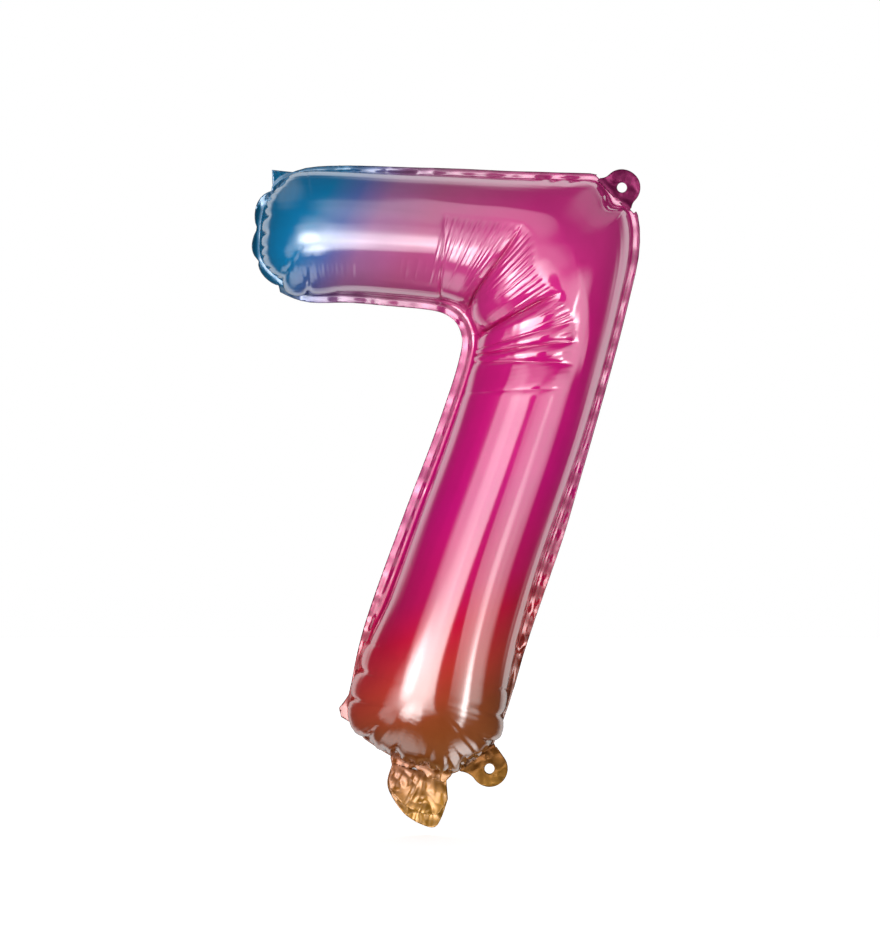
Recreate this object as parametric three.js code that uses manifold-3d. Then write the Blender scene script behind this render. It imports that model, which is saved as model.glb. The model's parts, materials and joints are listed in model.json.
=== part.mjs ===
// A foil number balloon, the numeral seven, 16 inch size, inflated with air.
//
// Two panels of metallised film are heat-sealed round their edge. They bulge into two domes, and outside the seal
// runs a flat rim of fused film. The rim grows into two hang tabs with punched holes and into a tail, whose two
// leaves hold the inlet of a self-sealing valve made of two clear films.
//
// Millimetres. +X is the numeral's right, +Z its top and -Y its front. The origin is the centre of the hole in the
// top hang tab, which the balloon hangs from.

import * as THREE from "three";
import { mergeVertices } from "three/addons/utils/BufferGeometryUtils.js";
import Module from "manifold-3d";

const wasm = await Module();
wasm.setup();

// ---------------------------------------------------------------- driving dimensions

const FILM = 0.6; // wall given to the foil, which is really about 0.05
const VALVE_FILM = 0.4; // wall given to each clear valve film
const GAP = 0.3; // clearance between pieces that touch
const RIM_WIDTH_OUTER = 4.5; // fused rim outside the seam line, on the numeral's top and right
const RIM_WIDTH_INNER = 6.5; // under the bar and left of the stem
const RIM_WIDTH_FOOT = 2.5;
const RIM_OVERLAP = 1.2; // rim reaching in between the two panels
const RIM_THICKNESS = 0.8; // both films fused
const FOLD_GAP = 0.8; // gap across a film fold, centred on its axis
const FOOT_FLAP = 7; // how much the rim widens at the foot's left corner
const SCALLOPS = 3.5; // in the rim of the bar's free end
const SCALLOP_VALLEY = 1.5;
const SCALLOP_CREST = 5.5;
const HOLE_RADIUS = 3; // punched holes in the hang tabs
const PAD_RADIUS = 11; // round pad of film about each hole
const TAIL_LEFT = -137.6; // the tail's sides where it leaves the foot
const TAIL_RIGHT = -105.4;
const TAIL_ROOT_CLEARANCE = 1.5; // from the tail's fold axis to its leaves
const VALVE_WIDTH = 20;
const VALVE_LENGTH = 75; // part of the valve inside the balloon
const END_ROUNDING = 40; // distance over which each closed end rises to full depth
const ROWS = 52; // panel facets along the numeral
const COLUMNS = 14; // panel facets across it

// The seam line, as stations along the numeral from the bar's free end to the foot of the stem. Each station has
// the point on the outer side (top and right), the point on the inner side (under the bar and left of the stem),
// and the depth from the seam plane to the crown.
const STATIONS = [
  { outer: [-202.8, 2.1], inner: [-202.8, -56.7], depth: 30 },
  { outer: [-187.8, 7.5], inner: [-187.8, -62.4], depth: 33 },
  { outer: [-163.2, 8.7], inner: [-163.2, -62.7], depth: 35 },
  { outer: [-133.2, 7.8], inner: [-138.0, -64.8], depth: 36 },
  { outer: [-100.2, 6.9], inner: [-118.2, -66.6], depth: 37 },
  { outer: [-67.2, 5.4], inner: [-106.2, -69.0], depth: 38 },
  { outer: [-37.2, 4.5], inner: [-98.4, -73.2], depth: 40 },
  { outer: [-13.2, 2.7], inner: [-94.5, -77.1], depth: 41 },
  { outer: [-6.5, -9.0], inner: [-92.1, -81.0], depth: 41 },
  { outer: [4.2, -14.7], inner: [-90.3, -86.1], depth: 41 },
  { outer: [6.0, -37.5], inner: [-89.4, -92.7], depth: 41 },
  { outer: [-0.6, -68.7], inner: [-90.9, -102.3], depth: 40 },
  { outer: [-10.8, -108.3], inner: [-96.0, -120.3], depth: 39 },
  { outer: [-23.4, -151.5], inner: [-108.6, -156.3], depth: 38 },
  { outer: [-36.6, -190.5], inner: [-121.8, -190.5], depth: 38 },
  { outer: [-50.4, -230.7], inner: [-137.4, -232.5], depth: 38 },
  { outer: [-61.8, -271.5], inner: [-151.2, -269.1], depth: 38 },
  { outer: [-69.0, -301.5], inner: [-159.0, -295.5], depth: 37 },
  { outer: [-73.8, -318.3], inner: [-162.0, -312.3], depth: 36 },
  { outer: [-79.2, -332.7], inner: [-153.6, -328.5], depth: 34 },
];
const LAST = STATIONS.length - 1;

// The closed ends, from the inner side to the outer side.
const BAR_END = [STATIONS[0].inner, [-214.8, -44.7], [-216.6, -30.3], [-213.6, -10.5], STATIONS[0].outer];
const FOOT_END = [
  STATIONS[LAST].inner,
  [-136.8, -339.3],
  [-118.2, -346.5],
  [-103.2, -349.5],
  [-90.0, -341.7],
  STATIONS[LAST].outer,
];

// The pointed flap of the rim at the bar's top left corner.
const BAR_FLAP_TIP = [-210.0, 10.5];

// Fold axes: a point on the axis, its direction and the way the film lies from it, all in the seam plane.
const fold = (at, angleDeg, side) => {
  const angle = THREE.MathUtils.degToRad(angleDeg);
  const along = new THREE.Vector2(Math.cos(angle), Math.sin(angle));
  return { at: new THREE.Vector2(...at), along, out: new THREE.Vector2(-along.y, along.x).multiplyScalar(side) };
};
const TOP_TAB_FOLD = fold([-3.9, -3.9], -45, 1);
const BOTTOM_TAB_FOLD = fold([-84.6, -341.4], 35, -1);
const TAIL_FOLD = fold([-121.5, -348.35], -16.9, -1);

const BOTTOM_HOLE = new THREE.Vector2(-79.5, -348.6);

// ---------------------------------------------------------------- materials

const foil = (color) => new THREE.MeshStandardMaterial({ color, metalness: 0.9, roughness: 0.18 });
const magentaFoil = foil(0xc22a78);
const violetFoil = foil(0x9a4a86);
const crimsonFoil = foil(0x8a1048);
const goldFoil = foil(0xa8742a);
const clearFilm = new THREE.MeshStandardMaterial({ color: 0xe6e8ea, metalness: 0, roughness: 0.35 });

// ---------------------------------------------------------------- the seam line and the domes

const spline = (points) => new THREE.SplineCurve(points.map((p) => new THREE.Vector2(...p)));
const outerRail = spline(STATIONS.map((s) => s.outer));
const innerRail = spline(STATIONS.map((s) => s.inner));
const barEnd = spline(BAR_END);
const footEnd = spline(FOOT_END);
const depthRail = spline(STATIONS.map((s, i) => [i, s.depth]));

// How far an end's curve bows out from the straight line between its two corners.
function endBow(end, v) {
  const straight = end.getPoint(0).lerp(end.getPoint(1), v);
  return end.getPoint(v).sub(straight);
}

// A point of the seam plane inside the outline: u runs along the numeral, v from its inner to its outer side.
function planPoint(u, v) {
  const BOW_REACH = 0.16; // share of the length over which an end's bow dies out
  const p = innerRail.getPoint(u).lerp(outerRail.getPoint(u), v);
  p.addScaledVector(endBow(barEnd, v), Math.max(0, 1 - u / BOW_REACH) ** 3);
  p.addScaledVector(endBow(footEnd, v), Math.max(0, 1 - (1 - u) / BOW_REACH) ** 3);
  return p;
}

// The share of full depth at a distance from a closed end: a quarter ellipse.
const endRise = (distance) => Math.sqrt(1 - Math.max(0, 1 - distance / END_ROUNDING) ** 2);

function crownDepth(u) {
  const middle = planPoint(u, 0.5);
  const fromBarEnd = middle.distanceTo(planPoint(0, 0.5));
  const fromFootEnd = middle.distanceTo(planPoint(1, 0.5));
  return depthRail.getPoint(u).y * endRise(fromBarEnd) * endRise(fromFootEnd);
}

const rampUp = (t, from, to) => THREE.MathUtils.smoothstep(t, from, to);

// The rim's width up the bar's free end, where it stands in scallops between puckers of the seam.
function scallop(t) {
  const hump = Math.abs(Math.sin(Math.PI * SCALLOPS * t));
  return SCALLOP_VALLEY + (SCALLOP_CREST - SCALLOP_VALLEY) * Math.sqrt(hump);
}

// The rim's width down the outer side: it narrows towards the foot.
const outerRim = (t) => RIM_WIDTH_OUTER - (RIM_WIDTH_OUTER - RIM_WIDTH_FOOT) * rampUp(t, 0.8, 1);

// The rim's width up the inner side, from the foot to the bar: a flap just above the foot, narrow for a stretch
// above that, then full width.
function innerRim(t) {
  const FLAP_AT = 0.05;
  const FLAP_HALF_LENGTH = 0.022;
  const flap = Math.max(0, 1 - Math.abs(t - FLAP_AT) / FLAP_HALF_LENGTH);
  return RIM_WIDTH_FOOT + (RIM_WIDTH_INNER - RIM_WIDTH_FOOT) * rampUp(t, 0.07, 0.22) + FOOT_FLAP * flap;
}

// The numeral's four sides, clockwise from the bar's top left corner: the way along each in (u, v), how many
// points it takes, and how wide the rim is on it.
const SIDES = [
  { way: (t) => [t, 1], steps: 60, width: outerRim },
  { way: (t) => [1, 1 - t], steps: 20, width: () => RIM_WIDTH_FOOT },
  { way: (t) => [1 - t, 0], steps: 90, width: innerRim },
  { way: (t) => [0, t], steps: 36, width: scallop },
];

// The outer edge of the rim as a closed ring of points.
function rimEdge() {
  const ring = [];
  for (const { way, steps, width } of SIDES) {
    for (let i = 1; i <= steps; i++) {
      const t = i / steps;
      const ahead = planPoint(...way(Math.min(1, t + 0.002)));
      const behind = planPoint(...way(Math.max(0, t - 0.002)));
      const along = ahead.sub(behind).normalize();
      const outward = new THREE.Vector2(-along.y, along.x);
      ring.push(planPoint(...way(t)).addScaledVector(outward, width(t)));
    }
  }
  ring.push(new THREE.Vector2(...BAR_FLAP_TIP));
  return ring;
}

// A closed ring of points a little inside the seam line.
function insideSeam(inset) {
  const TUBE_WIDTH = 76;
  const TUBE_LENGTH = 560;
  const shrink = (t, size) => inset / size + t * (1 - (2 * inset) / size);
  const ring = [];
  for (const { way, steps } of SIDES) {
    for (let i = 1; i <= steps; i++) {
      const [u, v] = way(i / steps);
      ring.push(planPoint(shrink(u, TUBE_LENGTH), shrink(v, TUBE_WIDTH)));
    }
  }
  return ring;
}

// One inflated panel as a thin closed shell. facing is -1 for the front panel and 1 for the back one.
function panelGeometry(facing) {
  const rimY = RIM_THICKNESS / 2 + GAP;
  const rows = ROWS + 1;
  const columns = COLUMNS + 1;
  const crowded = (t) => t - (0.85 * Math.sin(2 * Math.PI * t)) / (2 * Math.PI); // more rows near both ends
  const outside = [];
  for (let i = 0; i < rows; i++) {
    const u = crowded(i / ROWS);
    for (let k = 0; k < columns; k++) {
      const angle = (Math.PI * k) / COLUMNS;
      const p = planPoint(u, (1 - Math.cos(angle)) / 2);
      const height = k === 0 || k === COLUMNS ? 0 : crownDepth(u) * Math.sin(angle);
      outside.push(new THREE.Vector3(p.x, facing * (rimY + height), p.y));
    }
  }
  const isRim = (n) => n < columns || n >= columns * (rows - 1) || n % columns === 0 || n % columns === COLUMNS;

  const skin = [];
  for (let i = 0; i < ROWS; i++) {
    for (let k = 0; k < COLUMNS; k++) {
      const a = i * columns + k;
      const quad = [a, a + 1, a + columns + 1, a + columns];
      // The diagonal runs to the panel's corner in all four corner cells, so that no facet lies flat on the seam.
      if ((i === 0 && k === COLUMNS - 1) || (i === ROWS - 1 && k === 0)) quad.push(quad.shift());
      const halves = [[quad[0], quad[1], quad[2]], [quad[0], quad[2], quad[3]]];
      skin.push(...(facing < 0 ? halves : halves.map((half) => half.reverse())));
    }
  }

  const open = new THREE.BufferGeometry().setFromPoints(outside);
  open.setIndex(skin.flat());
  open.computeVertexNormals();
  const normals = open.getAttribute("normal");
  const inside = outside.map((p, n) => {
    const normal = new THREE.Vector3().fromBufferAttribute(normals, n);
    if (isRim(n)) normal.setY(0).normalize();
    return p.clone().addScaledVector(normal, -FILM);
  });

  // Every skin edge used once is on the rim, and gets a strip that joins the two skins.
  const edges = new Map();
  for (const [a, b, c] of skin) {
    for (const [from, to] of [[a, b], [b, c], [c, a]]) {
      if (edges.has(`${to},${from}`)) edges.delete(`${to},${from}`);
      else edges.set(`${from},${to}`, [from, to]);
    }
  }
  const inner = outside.length;
  const faces = [
    ...skin,
    ...skin.map(([a, b, c]) => [inner + a, inner + c, inner + b]),
    ...[...edges.values()].flatMap(([a, b]) => [[b, a, inner + a], [b, inner + a, inner + b]]),
  ];
  const shell = new THREE.BufferGeometry().setFromPoints([...outside, ...inside]);
  shell.setIndex(faces.flat());
  shell.computeVertexNormals();
  return shell;
}

// ---------------------------------------------------------------- flat film pieces

// A flat plate: an outline in the seam plane, from yFront back through its thickness.
function plateGeometry(shape, yFront, thickness, curveSegments = 10) {
  const plate = new THREE.ExtrudeGeometry(shape, { depth: thickness, bevelEnabled: false, curveSegments });
  return plate.rotateX(Math.PI / 2).translate(0, yFront + thickness, 0);
}

const ringShape = (points) => new THREE.Shape(points);

// A rectangle standing on a fold axis, from near to far along the film's way, half on each side of the middle.
function foldBlock({ at, along, out }, near, far, half) {
  const corner = (a, o) => at.clone().addScaledVector(along, a).addScaledVector(out, o);
  return ringShape([corner(-half, near), corner(half, near), corner(half, far), corner(-half, far)]);
}

function toSolid(geometry) {
  const bare = geometry.clone();
  bare.deleteAttribute("normal");
  bare.deleteAttribute("uv");
  const merged = mergeVertices(bare, 1e-4);
  const mesh = new wasm.Mesh({
    numProp: 3,
    vertProperties: merged.attributes.position.array,
    triVerts: new Uint32Array(merged.index.array),
  });
  return new wasm.Manifold(mesh);
}

function toGeometry(solid) {
  const { vertProperties, triVerts } = solid.getMesh();
  const geometry = new THREE.BufferGeometry();
  geometry.setAttribute("position", new THREE.BufferAttribute(vertProperties, 3));
  geometry.setIndex(new THREE.BufferAttribute(triVerts, 1));
  geometry.computeVertexNormals();
  return geometry;
}

// The fused rim: a band round the seam line, cut back for both tabs and open at the neck, where the valve passes.
function rimGeometry() {
  const CUTTER = 6; // thickness of each cutting block
  const REACH = 40; // how far a cutting block runs out past the rim
  const TAB_HALF = 16;
  const NECK_HALF = 18;
  const NECK_DEPTH = 12;
  const block = (shape) => toSolid(plateGeometry(shape, -CUTTER / 2, CUTTER));
  const rim = toSolid(plateGeometry(ringShape(rimEdge()), -RIM_THICKNESS / 2, RIM_THICKNESS))
    .subtract(block(ringShape(insideSeam(RIM_OVERLAP))))
    .subtract(block(foldBlock(TOP_TAB_FOLD, -FOLD_GAP / 2, REACH, TAB_HALF)))
    .subtract(block(foldBlock(BOTTOM_TAB_FOLD, -FOLD_GAP / 2, REACH, TAB_HALF)))
    .subtract(block(foldBlock(TAIL_FOLD, -NECK_DEPTH, REACH, NECK_HALF)));
  return toGeometry(rim);
}

// A hang tab, drawn from its hole: sideways along the fold axis and up away from it.
function tabShape(rootLeft, rootRight, rootBelow) {
  const shape = new THREE.Shape();
  const below = -rootBelow;
  shape.moveTo(rootLeft, below);
  shape.lineTo(rootRight, below);
  shape.quadraticCurveTo(PAD_RADIUS, below / 2, PAD_RADIUS, 0);
  shape.absarc(0, 0, PAD_RADIUS, 0, Math.PI, false);
  shape.quadraticCurveTo(-PAD_RADIUS, below / 2, rootLeft, below);
  const hole = new THREE.Path();
  hole.absarc(0, 0, HOLE_RADIUS, 0, 2 * Math.PI, true);
  shape.holes.push(hole);
  return shape;
}

// The mesh of a tab: drawn round its hole, turned so that its sideways direction lies along the fold axis.
function tabMesh(name, shape, axis, hole, flip, material) {
  const geometry = new THREE.ExtrudeGeometry(shape, { depth: FILM, bevelEnabled: false, curveSegments: 16 });
  geometry.translate(0, 0, -FILM / 2).rotateX(Math.PI / 2);
  const mesh = new THREE.Mesh(geometry, material);
  mesh.name = name;
  mesh.position.set(hole.x, 0, hole.y);
  mesh.rotation.y = -Math.atan2(axis.along.y, axis.along.x) + (flip ? Math.PI : 0);
  return mesh;
}

// The distance from a hole to the near edge of its tab.
const rootDistance = (axis, hole) => hole.clone().sub(axis.at).dot(axis.out) - FOLD_GAP / 2;

// The line parallel to the tail's fold axis at a distance from it, as z for a given x.
const tailLine = (distance) => (x) => {
  const p = TAIL_FOLD.at.clone().addScaledVector(TAIL_FOLD.out, distance);
  return p.y + ((x - p.x) * TAIL_FOLD.along.y) / TAIL_FOLD.along.x;
};

// A tail leaf: straight along the fold, then a free curve round its hanging end.
function leafShape(hangingEnd) {
  const root = tailLine(TAIL_ROOT_CLEARANCE);
  const shape = new THREE.Shape();
  shape.moveTo(TAIL_RIGHT, root(TAIL_RIGHT));
  shape.lineTo(TAIL_LEFT, root(TAIL_LEFT));
  shape.splineThru(hangingEnd.map((p) => new THREE.Vector2(...p)));
  shape.closePath();
  return shape;
}

const BACK_LEAF_END = [
  [-140.8, -356.0],
  [-139.0, -364.0],
  [-131.0, -375.5],
  [-121.0, -382.0],
  [-112.4, -383.8],
  [-107.8, -377.0],
  [-104.4, -367.0],
];
const FRONT_LEAF_END = [
  [-140.2, -356.0],
  [-137.8, -363.0],
  [-129.0, -371.5],
  [-119.0, -375.6],
  [-110.0, -375.4],
  [-104.6, -367.0],
];

// A valve strip between two heights of its centre line, with its lower edge parallel to the tail's fold.
function valveShape(lowerEdge, run, length) {
  const middle = TAIL_FOLD.at.x;
  const left = middle - VALVE_WIDTH / 2;
  const right = middle + VALVE_WIDTH / 2;
  const end = new THREE.Vector2(...run).normalize().multiplyScalar(length);
  return ringShape([
    new THREE.Vector2(left, lowerEdge(left)),
    new THREE.Vector2(right, lowerEdge(right)),
    new THREE.Vector2(right + end.x, lowerEdge(right) + end.y),
    new THREE.Vector2(left + end.x, lowerEdge(left) + end.y),
  ]);
}

// ---------------------------------------------------------------- the assembly

const balloon = new THREE.Group();

function addMesh(name, geometry, material) {
  const mesh = new THREE.Mesh(geometry, material);
  mesh.name = name;
  balloon.add(mesh);
}

addMesh("front_panel", panelGeometry(-1), magentaFoil);
addMesh("back_panel", panelGeometry(1), magentaFoil);
addMesh("seam_rim", rimGeometry(), violetFoil);

const topHole = new THREE.Vector2(0, 0);
const topRoot = rootDistance(TOP_TAB_FOLD, topHole);
const topTab = tabShape(-13, 13, topRoot);
balloon.add(tabMesh("top_hang_tab", topTab, TOP_TAB_FOLD, topHole, false, crimsonFoil));

const bottomRoot = rootDistance(BOTTOM_TAB_FOLD, BOTTOM_HOLE);
const bottomTab = tabShape(-11, 15, bottomRoot);
balloon.add(tabMesh("bottom_hang_tab", bottomTab, BOTTOM_TAB_FOLD, BOTTOM_HOLE, true, goldFoil));

// Through the tail, front to back: leaf, valve film, valve film, leaf.
const filmFaceY = GAP / 2; // the valve films meet either side of the seam plane
const leafFaceY = filmFaceY + VALVE_FILM + GAP;
addMesh("tail_front_leaf", plateGeometry(leafShape(FRONT_LEAF_END), -leafFaceY - FILM, FILM), goldFoil);
addMesh("tail_back_leaf", plateGeometry(leafShape(BACK_LEAF_END), leafFaceY, FILM), goldFoil);

const INSIDE_ROOT = 0.8; // from the fold axis to the valve films inside the balloon
const UP_THE_STEM = [0.33, 0.944];
const DOWN_THE_TAIL = [0.06, -1];
const INLET_LENGTH = 19;
const insideFilm = valveShape(tailLine(-INSIDE_ROOT), UP_THE_STEM, VALVE_LENGTH);
const inletFilm = valveShape(tailLine(TAIL_ROOT_CLEARANCE), DOWN_THE_TAIL, INLET_LENGTH);
addMesh("valve_front_film", plateGeometry(insideFilm, -filmFaceY - VALVE_FILM, VALVE_FILM), clearFilm);
addMesh("valve_back_film", plateGeometry(insideFilm, filmFaceY, VALVE_FILM), clearFilm);
addMesh("valve_inlet_front_film", plateGeometry(inletFilm, -filmFaceY - VALVE_FILM, VALVE_FILM), clearFilm);
addMesh("valve_inlet_back_film", plateGeometry(inletFilm, filmFaceY, VALVE_FILM), clearFilm);

export default balloon;
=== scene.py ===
# A foil number balloon, the numeral seven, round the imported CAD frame.
#
# Metres, in the frame of the CAD: +X the numeral's right, +Z up, -Y its front. The film's two domes start
# from the CAD seam line and crown depth, are inflated as film of fixed size pinned at the seam, and then
# get the creases, fans of ripples and seam puckers that such a balloon has.

import json
import math

import bpy
import numpy as np
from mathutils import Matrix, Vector, geometry, noise
from mathutils.kdtree import KDTree


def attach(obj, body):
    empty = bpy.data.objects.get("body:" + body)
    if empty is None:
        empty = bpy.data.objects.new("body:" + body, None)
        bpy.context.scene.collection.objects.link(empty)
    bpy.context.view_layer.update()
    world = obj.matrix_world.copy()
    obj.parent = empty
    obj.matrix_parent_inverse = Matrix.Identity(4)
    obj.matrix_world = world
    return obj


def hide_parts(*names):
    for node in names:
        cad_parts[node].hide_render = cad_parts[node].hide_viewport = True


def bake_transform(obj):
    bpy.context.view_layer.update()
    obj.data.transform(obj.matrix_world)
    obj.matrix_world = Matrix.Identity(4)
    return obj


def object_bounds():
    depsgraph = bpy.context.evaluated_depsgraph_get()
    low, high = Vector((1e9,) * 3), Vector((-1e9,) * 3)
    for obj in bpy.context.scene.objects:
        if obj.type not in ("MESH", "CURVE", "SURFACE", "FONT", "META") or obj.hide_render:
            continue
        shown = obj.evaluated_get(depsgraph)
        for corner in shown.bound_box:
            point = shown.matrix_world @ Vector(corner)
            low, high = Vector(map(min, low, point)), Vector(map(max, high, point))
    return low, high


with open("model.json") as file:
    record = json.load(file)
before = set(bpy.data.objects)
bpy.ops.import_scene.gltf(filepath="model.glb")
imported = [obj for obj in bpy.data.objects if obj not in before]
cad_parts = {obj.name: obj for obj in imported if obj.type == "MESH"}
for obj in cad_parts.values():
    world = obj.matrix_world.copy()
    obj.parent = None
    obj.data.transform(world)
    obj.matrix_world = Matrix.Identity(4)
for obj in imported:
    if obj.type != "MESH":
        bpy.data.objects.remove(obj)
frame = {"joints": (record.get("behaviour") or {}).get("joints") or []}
CAD_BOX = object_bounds()
MM = 0.001


# ---------------------------------------------------------------- curves and noise

def through(points, t):
    """Catmull-Rom through rows of points; t runs from 0 at the first to 1 at the last."""
    points = np.asarray(points, float)
    last = len(points) - 1
    place = np.clip(np.asarray(t, float), 0, 1) * last
    k = np.minimum(place.astype(int), last - 1)
    f = (place - k).reshape((-1,) + (1,) * (points.ndim - 1))
    padded = np.concatenate([2 * points[:1] - points[1:2], points, 2 * points[-1:] - points[-2:-1]])
    a, b, c, d = (padded[k + n] for n in range(4))
    return 0.5 * (2 * b + (c - a) * f + (2 * a - 5 * b + 4 * c - d) * f**2 + (3 * b - a - 3 * c + d) * f**3)


def refine(grid, rows, columns):
    """The same surface or field on another grid; rows and columns say where, each from 0 to 1."""
    finer = through(grid, rows)
    return np.swapaxes(through(np.swapaxes(finer, 0, 1), columns), 0, 1)


def smoothstep(x, low, high):
    t = np.clip((x - low) / (high - low), 0, 1)
    return t * t * (3 - 2 * t)


def hump(x, centre, width):
    return np.exp(-(((x - centre) / width) ** 2))


def arc_length(points):
    """Distance along a row of points, or down each column of a grid of them."""
    steps = np.linalg.norm(np.diff(points, axis=0), axis=-1)
    return np.concatenate([np.zeros((1,) + steps.shape[1:]), np.cumsum(steps, axis=0)])


def wander(rng, place, spacing):
    """Smooth noise of about unit size along a line."""
    span = max(place.max() - place.min(), spacing)
    knots = rng.standard_normal(int(span / spacing) + 4)
    return through(knots, (place.ravel() - place.min()) / span).reshape(place.shape)


def rumple(rng, shape, rows, columns):
    """Smooth noise of about unit size over a grid, from so many knots each way."""
    knots = rng.standard_normal((rows, columns))
    return refine(knots, np.linspace(0, 1, shape[0]), np.linspace(0, 1, shape[1]))


def crease_places(rng, start, end, spacing, spread):
    """Places from start to end, irregularly spaced."""
    count = max(2, int(round((end - start) / spacing)))
    gaps = 1 + spread * rng.uniform(-1, 1, count)
    return start + (end - start) * np.concatenate([[0], np.cumsum(gaps)]) / gaps.sum()


def lobes(place, creases, heights, roundness=0.7):
    """Rounded lobes between creases: 0 at each crease and outside them, each with its own height."""
    k = np.clip(np.searchsorted(creases, place) - 1, 0, len(creases) - 2)
    f = np.clip((place - creases[k]) / (creases[k + 1] - creases[k]), 0, 1)
    return heights[k] * np.sin(np.pi * f) ** roundness


# ---------------------------------------------------------------- the seam and the smooth domes

def merged(node):
    """A CAD node's points with repeats merged, and its triangles."""
    mesh = bpy.data.objects[node].data
    points = np.empty(len(mesh.vertices) * 3)
    mesh.vertices.foreach_get("co", points)
    corners = np.empty(len(mesh.loops), int)
    mesh.loops.foreach_get("vertex_index", corners)
    points = points.reshape(-1, 3)
    _, first, index = np.unique(np.round(points / 1e-6), axis=0, return_index=True, return_inverse=True)
    return points[first], index.ravel()[corners].reshape(-1, 3)


def edge_loops(triangles):
    """The closed boundary loops of some triangles, as lists of point numbers."""
    directed = {(t[i], t[(i + 1) % 3]) for t in triangles.tolist() for i in range(3)}
    following = {a: b for a, b in directed if (b, a) not in directed}
    loops = []
    while following:
        point = min(following)
        loop = []
        while point in following:
            loop.append(point)
            point = following.pop(point)
        loops.append(loop)
    return loops


def plan_area(loop):
    x, z = loop[:, 0], loop[:, 2]
    return 0.5 * abs(np.dot(x, np.roll(z, -1)) - np.dot(z, np.roll(x, -1)))


def seam_sides():
    """The front panel's seam edge as its four sides, and all the panel's points.

    The panel is a grid of facets: three meet at each seam point, except at its corners, where two do.
    """
    points, triangles = merged("front_panel")
    on_rim = points[:, 1] > points[:, 1].max() - 1e-6
    flat = on_rim[triangles].all(axis=1)
    loop = max(edge_loops(triangles[flat]), key=lambda one: plan_area(points[one]))
    facets = np.bincount(triangles[~flat].ravel(), minlength=len(points))
    count = len(loop)
    few = [facets[point] < 3 for point in loop]
    # a corner is a lone point with few facets, or the middle one of three
    turns = [k for k in range(count) if few[k] and few[k - 1] == few[(k + 1) % count]]
    sides = []
    for start, end in zip(turns, turns[1:] + [turns[0] + count]):
        sides.append(points[[loop[k % count] for k in range(start, end + 1)]])
    sides.sort(key=len)
    ends = sorted(sides[:2], key=lambda side: -side[:, 2].mean())
    rails = sorted(sides[2:], key=lambda side: side[:, 0].mean())
    inner, outer = [rail if rail[0, 2] > rail[-1, 2] else rail[::-1] for rail in rails]
    bar_end, foot_end = [
        end if np.linalg.norm(end[0] - corner) < np.linalg.norm(end[-1] - corner) else end[::-1]
        for end, corner in zip(ends, (inner[0], inner[-1]))
    ]
    return inner, outer, bar_end, foot_end, points


INNER, OUTER, BAR_END, FOOT_END, PANEL_POINTS = seam_sides()
SEAM_Y = INNER[0, 1]
BOW_REACH = 65 * MM  # how far from an end its curve still bends the lines across the numeral
END_ROUNDING = 40 * MM  # distance over which an end rises to full depth


def bow(end):
    """How far an end's curve stands off the straight line between its corners, at each of its points."""
    share = ((1 - np.cos(np.linspace(0, math.pi, len(end)))) / 2)[:, None]
    return end - (end[:1] * (1 - share) + end[-1:] * share)


def seam_plan(t, angle):
    """Points of the seam plane: t runs along the numeral, angle across it, the inner side first."""
    inner, outer = through(INNER, t), through(OUTER, t)
    middle = (inner + outer) / 2
    share = ((1 - np.cos(angle)) / 2)[None, :, None]
    plan = inner[:, None] * (1 - share) + outer[:, None] * share
    for end, corners in ((BAR_END, (INNER[0] + OUTER[0]) / 2), (FOOT_END, (INNER[-1] + OUTER[-1]) / 2)):
        reach = np.clip(1 - np.linalg.norm(middle - corners, axis=1) / BOW_REACH, 0, 1) ** 3
        plan += reach[:, None, None] * through(bow(end), angle / math.pi)[None]
    return plan


def rise(distance):
    """The share of full depth at a distance from a closed end: a quarter ellipse."""
    return np.sqrt(1 - np.clip(1 - distance / END_ROUNDING, 0, 1) ** 2)


def crown_depths(t):
    """The front panel's depth along its crown line, which the ends round off to nothing."""
    crown = seam_plan(t, np.array([math.pi / 2]))[:, 0]
    from_bar_end = np.linalg.norm(crown - crown[0], axis=1)
    from_foot_end = np.linalg.norm(crown - crown[-1], axis=1)
    share = rise(from_bar_end) * rise(from_foot_end)
    depth = []
    for point in crown:
        away = np.hypot(PANEL_POINTS[:, 0] - point[0], PANEL_POINTS[:, 2] - point[2])
        near = PANEL_POINTS[away < away.min() + MM]
        depth.append(SEAM_Y - near[:, 1].min())
    full = share > 0.97
    return np.interp(t, t[full], np.array(depth)[full]) * share


CAD_ROWS = np.linspace(0, 1, len(INNER))
DEPTHS = crown_depths(CAD_ROWS)


def smooth_dome(t, angle):
    """The front dome with no creases."""
    plan = seam_plan(t, angle)
    plan[..., 1] = SEAM_Y - through(DEPTHS, t)[:, None] * np.sin(angle)[None]
    return plan


DENSE_T = np.linspace(0, 1, 2001)
MIDDLE_RUN = arc_length(seam_plan(DENSE_T, np.array([math.pi / 2]))[:, 0])
LENGTH = MIDDLE_RUN[-1]


def distance_along(t):
    """Distance along the numeral's middle line from the bar's end."""
    return np.interp(t, DENSE_T, MIDDLE_RUN)


BEND_AT = distance_along(CAD_ROWS[(INNER[:, 0] + INNER[:, 2]).argmax()])


def rows_by(count, weight):
    """Places along the numeral, their spacing set by a weight of the distance along its middle line."""
    step = np.diff(MIDDLE_RUN) * weight((MIDDLE_RUN[1:] + MIDDLE_RUN[:-1]) / 2)
    run = np.concatenate([[0], np.cumsum(step)])
    return np.interp(np.linspace(0, run[-1], count), run, DENSE_T)


# ---------------------------------------------------------------- inflation

def normals(surface):
    """Unit normals of a grid surface that faces the front."""
    n = np.cross(np.gradient(surface, axis=0), np.gradient(surface, axis=1))
    n /= np.maximum(np.linalg.norm(n, axis=2, keepdims=True), 1e-12)
    return n * (-1 if n[len(n) // 2, n.shape[1] // 2, 1] > 0 else 1)


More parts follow.
